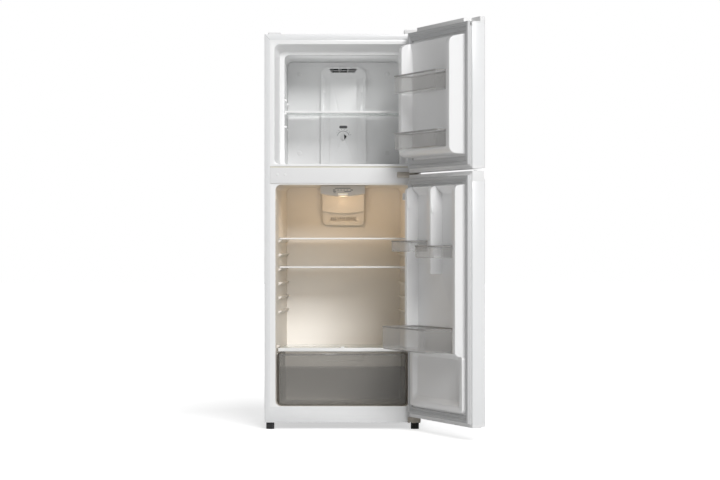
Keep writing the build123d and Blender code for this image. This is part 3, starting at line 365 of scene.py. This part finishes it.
def buildMaterial(name):
    finish = {**defaultFinish, **finishes[name]}
    material = bpy.data.materials.new(name)
    material.use_nodes = True
    tree = material.node_tree
    shader = tree.nodes["Principled BSDF"]
    for socket, value in finish.get("sockets", {}).items():
        shader.inputs[socket].default_value = value
    tone = tree.nodes.new("ShaderNodeGroup")
    tone.node_tree = toneGroup
    tone.inputs["Color"].default_value = (*finish["color"], 1)
    tone.inputs["Drift"].default_value = finish["drift"]
    tone.inputs["Dust"].default_value = finish["dust"]
    grain = tree.nodes.new("ShaderNodeGroup")
    grain.node_tree = grainGroup
    grain.inputs["Scale"].default_value = finish["grainScale"]
    grain.inputs["Roughness"].default_value = finish["roughness"]
    grain.inputs["Spread"].default_value = finish["spread"]
    bump = tree.nodes.new("ShaderNodeBump")
    bump.inputs["Strength"].default_value = finish["bump"]
    bump.inputs["Distance"].default_value = finish["grainDepth"]
    link = tree.links.new
    link(tone.outputs["Color"], shader.inputs["Base Color"])
    link(grain.outputs["Roughness"], shader.inputs["Roughness"])
    link(grain.outputs["Height"], bump.inputs["Height"])
    link(bump.outputs["Normal"], shader.inputs["Normal"])
    if "alpha" in finish:
        # clear walls: see-through head on, denser towards their edges
        edge = tree.nodes.new("ShaderNodeLayerWeight")
        edge.inputs["Blend"].default_value = 0.35
        density = tree.nodes.new("ShaderNodeMapRange")
        clearest, densest = finish["alpha"]
        density.inputs["To Min"].default_value = clearest
        density.inputs["To Max"].default_value = densest
        link(edge.outputs["Facing"], density.inputs["Value"])
        link(density.outputs["Result"], shader.inputs["Alpha"])
    return material


materials = {name: buildMaterial(name) for name in finishes}
print("materials ready")

# CAD nodes that are shown as they are
keptNodes = {
    "back_panel": "galvanisedSheet",
    "base_pan": "galvanisedSheet",
    "foam_insulation": "rigidFoam",
    "freezer_door_foam": "rigidFoam",
    "fresh_food_door_foam": "rigidFoam",
    "evaporator_coil": "bareAluminium",
    "fan_motor": "blackMoulding",
    "evaporator_fan": "blackMoulding",
    "freezer_door_bushings": "naturalNylon",
    "fresh_food_door_bushings": "naturalNylon",
    "compressor": "satinBlackPaint",
    "mains_inlet": "blackMoulding",
}

for node, finish in keptNodes.items():
    nodes[node].data.materials.clear()
    nodes[node].data.materials.append(materials[finish])

bodyOf = {}
for body, members in frame["record"]["behaviour"]["bodies"].items():
    for member in members:
        bodyOf[member] = body
slotOf = {part["node"]: part["material_slot"] for part in frame["record"]["subparts"]}

# node: (name of the new piece, finish, edge radius in mm, segments)
easedNodes = {
    "cabinet_shell": ("cabinetShell", "whiteEnamel", 0.45, 2),
    "freezer_liner": ("freezerLiner", "linerSheet", 1.2, 2),
    # the fresh-food liner, control housing and duct cover carry the warm lamp light painted into their colour
    "fresh_food_liner": ("freshFoodLiner", "linerSheetPaintedLampLight", 1.2, 2),
    "mullion_bar": ("mullionBar", "whiteMoulding", 0.8, 3),
    "evaporator_cover": ("evaporatorCover", "linerSheet", 1.0, 3),
    "air_flow_knob": ("airFlowKnob", "whiteMoulding", 0.8, 3),
    "screw_caps": ("screwCaps", "whiteMoulding", 0.7, 3),
    "freezer_shelf_glass": ("freezerShelfGlass", "shelfGlass", 0.5, 2),
    "freezer_shelf_trim": ("freezerShelfTrim", "glossTrim", 0.5, 2),
    "upper_shelf_glass": ("upperShelfGlass", "shelfGlass", 0.5, 2),
    "upper_shelf_trim": ("upperShelfTrim", "glossTrim", 0.5, 2),
    "lower_shelf_glass": ("lowerShelfGlass", "shelfGlass", 0.5, 2),
    "lower_shelf_trim": ("lowerShelfTrim", "glossTrim", 0.5, 2),
    "crisper_cover_trim": ("crisperCoverTrim", "glossTrim", 0.6, 2),
    "crisper_cover_glass": ("crisperCoverGlass", "shelfGlass", 0.5, 2),
    "humidity_slider": ("humiditySlider", "glossTrim", 0.4, 2),
    "control_housing": ("controlHousing", "linerSheetPaintedLampLight", 1.2, 3),
    # the dial's glow is painted, an emission standing in for lamp light shining through it
    "temperature_dial": ("temperatureDial", "dialPaintedGlow", 0.3, 2),
    "duct_cover": ("ductCover", "linerSheetPaintedLampLight", 1.5, 3),
    "door_switch_body": ("doorSwitchBody", "whiteMoulding", 0.6, 2),
    "door_switch_plunger": ("doorSwitchPlunger", "whiteMoulding", 0.4, 2),
    "top_hinge": ("topHinge", "platedSteel", 0.4, 2),
    "centre_hinge": ("centreHinge", "platedSteel", 0.4, 2),
    "bottom_hinge": ("bottomHinge", "platedSteel", 0.4, 2),
    "hinge_screws": ("hingeScrews", "platedSteel", 0.3, 2),
    "hinge_cover": ("hingeCover", "whiteMoulding", 0.6, 2),
    "hinge_hole_cover": ("hingeHoleCover", "whiteMoulding", 0.6, 2),
    "rear_feet": ("rearFeet", "blackMoulding", 1.0, 3),
    "left_front_foot": ("leftFrontFoot", "blackMoulding", 1.0, 3),
    "right_front_foot": ("rightFrontFoot", "blackMoulding", 1.0, 3),
    "drain_pan": ("drainPan", "blackMoulding", 1.0, 2),
    "freezer_door_skin": ("freezerDoorSkin", "whiteEnamel", 0.4, 2),
    "fresh_food_door_skin": ("freshFoodDoorSkin", "whiteEnamel", 0.4, 2),
    "freezer_door_top_cap": ("freezerDoorTopCap", "whiteMoulding", 1.0, 3),
    "freezer_door_bottom_cap": ("freezerDoorBottomCap", "whiteMoulding", 1.0, 3),
    "fresh_food_door_top_cap": ("freshFoodDoorTopCap", "whiteMoulding", 1.0, 3),
    "fresh_food_door_bottom_cap": ("freshFoodDoorBottomCap", "whiteMoulding", 1.0, 3),
    "freezer_door_liner": ("freezerDoorLiner", "linerSheet", 1.5, 3),
    "fresh_food_door_liner": ("freshFoodDoorLiner", "linerSheet", 1.5, 3),
    "lamp_bulb": ("lampBulb", "lampGlass", 0.3, 2),
}

footRibs = {
    "nodes": ("left_front_foot", "right_front_foot", "rear_feet"),
    "side": 0.35,  # valley left at each side of a rib, mm
    "depth": 0.7,
    "smallestFlat": 7.2,  # flats below this many square mm get no rib
    "edge": 0.2,
}
paintedLampLightSetback = 6 * mm  # how far back from the front the liner's rim keeps the plain white; behind it the warm lamp light is painted into the colour


def ribFoot(piece):
    # upright ribs round the foot's side, one from each flat of the round
    smallest = footRibs["smallestFlat"] * mm * mm
    selectFaces(piece, lambda face: abs(face.normal.z) < 0.1 and face.area > smallest)
    bpy.ops.mesh.inset(
        thickness=footRibs["side"] * mm, depth=footRibs["depth"] * mm, use_individual=True)
    bpy.ops.object.mode_set(mode="OBJECT")


for node, (name, finish, radius, segments) in easedNodes.items():
    piece = copyNode(node, name)
    if node in footRibs["nodes"]:
        ribFoot(piece)
        radius = footRibs["edge"]
    soften(piece, radius * mm, segments)
    finishPiece(piece, materials[finish], bodyOf[node], slotOf[node], node)
    # the painted warm lamp light stops short of the liner's front rim, whose forward faces get the plain white
    # liner
    if finish == "linerSheetPaintedLampLight":
        piece.data.materials.append(materials["linerSheet"])
        for face in piece.data.polygons:
            if face.normal.y < -0.9 and face.center.y < frontY + paintedLampLightSetback:
                face.material_index = 1
print("eased CAD shapes ready")

gaskets = {
    "freezer": {"name": "freezerDoorGasket", "fins": 3},
    "fresh_food": {"name": "freshFoodDoorGasket", "fins": 2},
}
gasketShape = {
    # steps across each strip from its outer edge: (inward, outward), mm
    "ridges": [
        (0.3, 8.6), (2.0, 1.8), (2.0, -2.0), (2.4, 2.0),
        (2.4, 0.0), (1.8, -2.2), (1.8, 2.0), (1.6, -4.0)],
    "fin": [(2.6, -1.6), (3.0, 1.6)],
    "last": [(1.4, -6.0)],
    "edge": 0.35,
}


def addGasket(node, name, fins):
    # ridged strip, mitred at its corners, grown inwards from a sheet on the liner's border
    low, high = closedBox(node)
    deselectAll()
    middle = ((low.x + high.x) / 2, high.y, (low.z + high.z) / 2)
    bpy.ops.mesh.primitive_plane_add(size=1, location=middle, rotation=(-math.pi / 2, 0, 0))
    piece = bpy.context.object
    piece.scale = (high.x - low.x, high.z - low.z, 1)
    piece.name = name
    settle(piece)
    piece.data.transform(Matrix.Translation((0, low.y - high.y, 0)))
    bpy.ops.object.mode_set(mode="EDIT")
    bpy.ops.mesh.select_all(action="SELECT")
    bpy.ops.mesh.select_mode(type="FACE")
    steps = gasketShape["ridges"] + gasketShape["fin"] * fins + gasketShape["last"]
    for inward, outward in steps:
        bpy.ops.mesh.inset(thickness=inward * mm, depth=outward * mm, use_even_offset=True)
    bpy.ops.mesh.delete(type="FACE")
    bpy.ops.mesh.select_mode(type="EDGE")
    bpy.ops.mesh.select_all(action="DESELECT")
    bpy.ops.mesh.select_non_manifold()
    bpy.ops.mesh.bridge_edge_loops()
    bpy.ops.mesh.select_all(action="SELECT")
    bpy.ops.mesh.normals_make_consistent(inside=False)
    bpy.ops.object.mode_set(mode="OBJECT")
    soften(piece, gasketShape["edge"] * mm, 2, 20)
    return swing(piece)


for door, settings in gaskets.items():
    node = f"{door}_door_gasket"
    piece = addGasket(node, **settings)
    finishPiece(piece, materials["greyGasket"], bodyOf[node], slotOf[node], node)
print("gaskets ready")

railShape = {
    "band": 6,  # height of the dense rail along the top, mm
    "sill": 3.6,  # and along the foot of the front wall
    "post": 5,  # width of the dense corner posts
    "edge": 0.5,
}
# node: (name of the new piece, whether it hangs on a door, walls, rails)
clearTrays = {
    "freezer_upper_bin": ("freezerUpperBin", True, "clearStyrene", "styreneRail"),
    "freezer_lower_bin": ("freezerLowerBin", True, "clearStyrene", "styreneRail"),
    "hinge_side_bin": ("hingeSideBin", True, "clearStyrene", "styreneRail"),
    "free_side_bin": ("freeSideBin", True, "clearStyrene", "styreneRail"),
    "gallon_bin": ("gallonBin", True, "clearStyrene", "styreneRail"),
    "crisper_drawer": ("crisperDrawer", False, "smokedStyrene", "smokedRail"),
}


def cutAcross(piece, point, direction):
    activate(piece)
    bpy.ops.object.mode_set(mode="EDIT")
    bpy.ops.mesh.select_all(action="SELECT")
    bpy.ops.mesh.bisect(plane_co=point, plane_no=direction)
    bpy.ops.object.mode_set(mode="OBJECT")


def addClearTray(node, name, onDoor, wallFinish, railFinish):
    # thin walls with a denser rail round the rim, the foot and the corners
    piece = copyNode(node, name)
    if onDoor:
        piece.matrix_world = swingMatrix.inverted()
        settle(piece)
    corners = [Vector(corner) for corner in piece.bound_box]
    low = Vector([min(corner[i] for corner in corners) for i in range(3)])
    high = Vector([max(corner[i] for corner in corners) for i in range(3)])
    post = railShape["post"] * mm
    railFoot = high.z - railShape["band"] * mm
    sillTop = low.z + railShape["sill"] * mm
    for height in (railFoot, sillTop):
        cutAcross(piece, (0, 0, height), (0, 0, 1))
    for across in (low.x + post, high.x - post):
        cutAcross(piece, (across, 0, 0), (1, 0, 0))
    finishPiece(piece, materials[wallFinish], bodyOf[node], slotOf[node], node)
    piece.data.materials.append(materials[railFinish])
    frontEdge = high.y - post if onDoor else low.y + post
    for face in piece.data.polygons:
        centre = face.center
        nearFront = centre.y > frontEdge if onDoor else centre.y < frontEdge
        nearSide = centre.x < low.x + post or centre.x > high.x - post
        if centre.z > railFoot or (nearFront and (nearSide or centre.z < sillTop)):
            face.material_index = 1
    soften(piece, railShape["edge"] * mm, 2)
    if onDoor:
        swing(piece)


for node, settings in clearTrays.items():
    addClearTray(node, *settings)
print("bins and drawer ready")

seamShape = {
    "width": 0.8,  # mm
    "height": 0.15,
    "sunk": 0.075,
    "edge": 0.15,
    "flange": 22,  # width of the flange that the seam crosses
    "setback": 0.5,  # from the cabinet's outer corner
}


def addSeam(name, start, end):
    # fine line where two folded flanges meet
    start, end = Vector(start), Vector(end)
    run = end - start
    halfWidth = seamShape["width"] * mm / 2
    piece = addBox(name, (0, -seamShape["height"] * mm, -halfWidth),
                   (run.length, seamShape["sunk"] * mm, halfWidth))
    selectFaces(piece, facing((0, -1, 0)))
    bpy.ops.mesh.inset(thickness=seamShape["edge"] * mm, depth=0)
    bpy.ops.object.mode_set(mode="OBJECT")
    piece.rotation_euler = (0, -math.atan2(run.z, run.x), 0)
    piece.location = start
    return settle(piece)


seams = []
for side in (-1, 1):
    outer, inner = [
        (side * (cabinetHigh.x - away * mm), frontY, cabinetHigh.z - away * mm)
        for away in (seamShape["setback"], seamShape["flange"])]
    seams.append(addSeam(f"mitreSeam{side}", outer, inner))
seamPiece = joinPieces(seams, "mitreSeams")
finishPiece(seamPiece, materials["seamShade"], "cabinet", slotOf["cabinet_shell"])

# printed marks are thin raised shapes, all in mm
markShape = {"raised": 0.12, "sunk": 0.3, "edge": 0.15, "crown": 0.05}
# (left end, height, width, tall), from the middle and the top of the control housing
housingSpots = [
    (-30, -9, 60, 2.2), (-38, -16, 9, 2.6), (-20, -16, 3, 2.6), (-8, -16, 3, 2.6), (4, -16, 3, 2.6),
    (16, -16, 3, 2.6), (30, -16, 9, 2.6), (-38, -22, 12, 2), (6, -22, 26, 2), (-36, -27, 8, 1.6),
]
airMarks = {
    "pillRise": 40,  # above the middle of the knob
    "pillWidth": 32,
    "pillHeight": 11,
    "pillRaised": 0.25,
    "pillRounding": 0.9,  # share of half its height
    "dash": (1.5, 3.4),
    "arcSpan": 150,  # degrees
    "arcParts": 28,
    # radius of each arc, and one dash in how many is made
    "arcs": {24: 1, 31: 4},
}


def addMark(name, low, high):
    piece = addBox(name, low, high)
    selectFaces(piece, facing((0, -1, 0)))
    bpy.ops.mesh.inset(thickness=markShape["edge"] * mm, depth=markShape["crown"] * mm)
    bpy.ops.object.mode_set(mode="OBJECT")
    return piece


def frontSurface(node, x, z):
    # how far back the node's surface lies at a point, seen from well in front of the cabinet
    mesh = nodes[node].data
    tree = BVHTree.FromPolygons(
        [point.co for point in mesh.vertices], [face.vertices for face in mesh.polygons])
    return tree.ray_cast(Vector((x, frontY - 0.2, z)), Vector((0, 1, 0)))[0].y


def addHousingMarks():
    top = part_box("control_housing")[1].z
    marks = []
    for left, height, wide, tall in housingSpots:
        x, z = left * mm, top + height * mm
        y = frontSurface("control_housing", x + wide * mm / 2, z)
        low = (x, y - markShape["raised"] * mm, z - tall * mm / 2)
        high = (x + wide * mm, y + markShape["sunk"] * mm, z + tall * mm / 2)
        marks.append(addMark("housingMarks", low, high))
    return joinPieces(marks, "housingMarks")


def addAirMarks():
    # a pill with two arcs of dashes beneath it, round the air-flow knob
    knobLow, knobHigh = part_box("air_flow_knob")
    x, z = (knobLow.x + knobHigh.x) / 2, (knobLow.z + knobHigh.z) / 2
    pillZ = z + airMarks["pillRise"] * mm
    y = frontSurface("evaporator_cover", x, pillZ)
    wide, tall = airMarks["pillWidth"] * mm / 2, airMarks["pillHeight"] * mm / 2
    pill = addBox("airPill", (x - wide, y - airMarks["pillRaised"] * mm, pillZ - tall),
                  (x + wide, y + markShape["sunk"] * mm, pillZ + tall))
    selectEdges(pill, lambda a, b: abs(a.y - b.y) > 0.1 * mm)
    bpy.ops.mesh.bevel(offset=tall * airMarks["pillRounding"], segments=6)
    bpy.ops.object.mode_set(mode="OBJECT")
    marks = [pill]
    dashWide, dashTall = [length * mm / 2 for length in airMarks["dash"]]
    parts = airMarks["arcParts"]
    faceY = frontSurface("evaporator_cover", x + min(airMarks["arcs"]) * mm, z)
    for radius, every in airMarks["arcs"].items():
        for step in range(0, parts, every):
            angle = math.radians(90 + airMarks["arcSpan"] * ((step + 0.5) / parts - 0.5))
            dash = addMark("arcMark", (-dashWide, -markShape["raised"] * mm, -dashTall),
                           (dashWide, markShape["sunk"] * mm, dashTall))
            dash.rotation_euler = (0, -angle, 0)
            reach = radius * mm
            dash.location = (x + reach * math.cos(angle), faceY, z + reach * math.sin(angle))
            marks.append(settle(dash))
    return joinPieces(marks, "airFlowMarks")


finishPiece(addHousingMarks(), materials["greyInk"], "cabinet", slotOf["control_housing"])
finishPiece(addAirMarks(), materials["greyInk"], "cabinet", slotOf["evaporator_cover"])
print("seams and marks ready")

studio = {
    "cameraAcross": 67,  # mm right of the cabinet's middle
    "cameraHeight": 726,
    "cameraDistance": 9100,  # from the cabinet's front
    "lens": 118.6,
    "sensorWidth": 36,
    "floorSize": 60,  # metres
    "floorGlow": 0.58,
    "glowReach": (0.9, 2.6),  # metres from the middle over which the glow rises to white
    "skyStrength": 0.26,
    "frontPower": 1250,
    "overheadPower": 6,
    "compartmentPower": 0.27,
    "freezerPower": 0.12,
    "lampPower": 0.1,
    "lampRadius": 0.02,
    "lampGap": 0.03,  # behind and below the bulb
    "warmTint": (1.0, 0.7, 0.42),
    "compartmentSize": (0.34, 0.12),
    "freezerSize": (0.36, 0.06),
    "frontPlace": (3.4, -12.2, 6.6),
    "frontTarget": (0.0, -0.2, 0.8),
    "frontSize": (5.0, 4.0),
    "overheadPlace": (0.0, -0.3, 4.4),
    "overheadTarget": (0.0, -0.2, 0.0),
    "overheadSize": (4.0, 3.0),
}


def addArea(name, place, target, size, power, tint=(1, 1, 1)):
    light = bpy.data.lights.new(name, "AREA")
    light.shape = "RECTANGLE"
    light.size, light.size_y = size
    light.energy = power
    light.color = tint
    lamp = bpy.data.objects.new(name, light)
    bpy.context.scene.collection.objects.link(lamp)
    lamp.location = place
    lamp.rotation_euler = (Vector(target) - Vector(place)).to_track_quat("-Z", "Y").to_euler()
    lamp.visible_camera = False
    return lamp


def buildFloor():
    deselectAll()
    bpy.ops.mesh.primitive_plane_add(size=studio["floorSize"], location=(0, 0, cadSize[0][2]))
    floor = bpy.context.object
    floor.name = "studioFloor"
    settle(floor)
    pale = bpy.data.materials.new("paleFloor")
    pale.use_nodes = True
    surface = pale.node_tree.nodes["Principled BSDF"]
    surface.inputs["Base Color"].default_value = (0.9, 0.9, 0.9, 1)
    surface.inputs["Roughness"].default_value = 0.9
    surface.inputs["Emission Color"].default_value = (1, 1, 1, 1)
    # the glow whitens the floor without lighting the cabinet from below
    newNode = pale.node_tree.nodes.new
    link = pale.node_tree.links.new
    sight = newNode("ShaderNodeLightPath")
    glow = newNode("ShaderNodeMath")
    glow.operation = "MULTIPLY"
    spot = newNode("ShaderNodeTexCoord")
    away = newNode("ShaderNodeVectorMath")
    away.operation = "LENGTH"
    fade = newNode("ShaderNodeMapRange")
    glowStart, glowEnd = studio["glowReach"]
    fade.inputs["From Min"].default_value = glowStart
    fade.inputs["From Max"].default_value = glowEnd
    fade.inputs["To Min"].default_value = studio["floorGlow"]
    fade.inputs["To Max"].default_value = 1.0
    link(spot.outputs["Object"], away.inputs[0])
    link(away.outputs["Value"], fade.inputs["Value"])
    link(fade.outputs["Result"], glow.inputs[1])
    link(sight.outputs["Is Camera Ray"], glow.inputs[0])
    link(glow.outputs[0], surface.inputs["Emission Strength"])
    floor.data.materials.append(pale)


def buildSky():
    world = bpy.data.worlds.new("paleSky")
    world.use_nodes = True
    bpy.context.scene.world = world
    tree = world.node_tree
    sky = tree.nodes["Background"]
    sky.inputs["Color"].default_value = (1, 1, 1, 1)
    sky.inputs["Strength"].default_value = studio["skyStrength"]
    seen = tree.nodes.new("ShaderNodeBackground")
    seen.inputs["Color"].default_value = (1, 1, 1, 1)
    path = tree.nodes.new("ShaderNodeLightPath")
    mix = tree.nodes.new("ShaderNodeMixShader")
    tree.links.new(path.outputs["Is Camera Ray"], mix.inputs[0])
    tree.links.new(sky.outputs[0], mix.inputs[1])
    tree.links.new(seen.outputs[0], mix.inputs[2])
    tree.links.new(mix.outputs[0], tree.nodes["World Output"].inputs["Surface"])


def buildLights():
    for name in ("front", "overhead"):
        addArea(f"{name}Softbox", studio[f"{name}Place"], studio[f"{name}Target"],
                studio[f"{name}Size"], studio[f"{name}Power"])
    # two weak lights just below the compartments' ceilings
    low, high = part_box("fresh_food_liner")
    addArea("compartmentGlow", (0, (low.y + high.y) / 2 - 0.05, high.z - 0.06),
            (0, high.y - 0.06, low.z + 0.3), studio["compartmentSize"],
            studio["compartmentPower"], studio["warmTint"])
    low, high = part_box("freezer_liner")
    addArea("freezerGlow", (0, low.y + 0.12, high.z - 0.075),
            (0, high.y - 0.06, low.z + 0.15), studio["freezerSize"], studio["freezerPower"])
    bulbLow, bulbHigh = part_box("lamp_bulb")
    glow = bpy.data.lights.new("lampGlow", "POINT")
    glow.energy = studio["lampPower"]
    glow.color = studio["warmTint"]
    glow.shadow_soft_size = studio["lampRadius"]
    lamp = bpy.data.objects.new("lampGlow", glow)
    bpy.context.scene.collection.objects.link(lamp)
    gap = studio["lampGap"]
    lamp.location = ((bulbLow.x + bulbHigh.x) / 2, bulbHigh.y + gap, bulbLow.z - gap)


def buildCamera():
    view = bpy.data.cameras.new("frontView")
    view.lens = studio["lens"]
    view.sensor_width = studio["sensorWidth"]
    view.clip_end = 100
    camera = bpy.data.objects.new("frontView", view)
    bpy.context.scene.collection.objects.link(camera)
    camera.location = (studio["cameraAcross"] * mm, frontY - studio["cameraDistance"] * mm,
                       studio["cameraHeight"] * mm)
    camera.rotation_euler = (math.pi / 2, 0, 0)
    bpy.context.scene.camera = camera
    bpy.context.scene.view_settings.view_transform = "Standard"


buildFloor()
buildSky()
buildLights()
buildCamera()
print("studio ready")
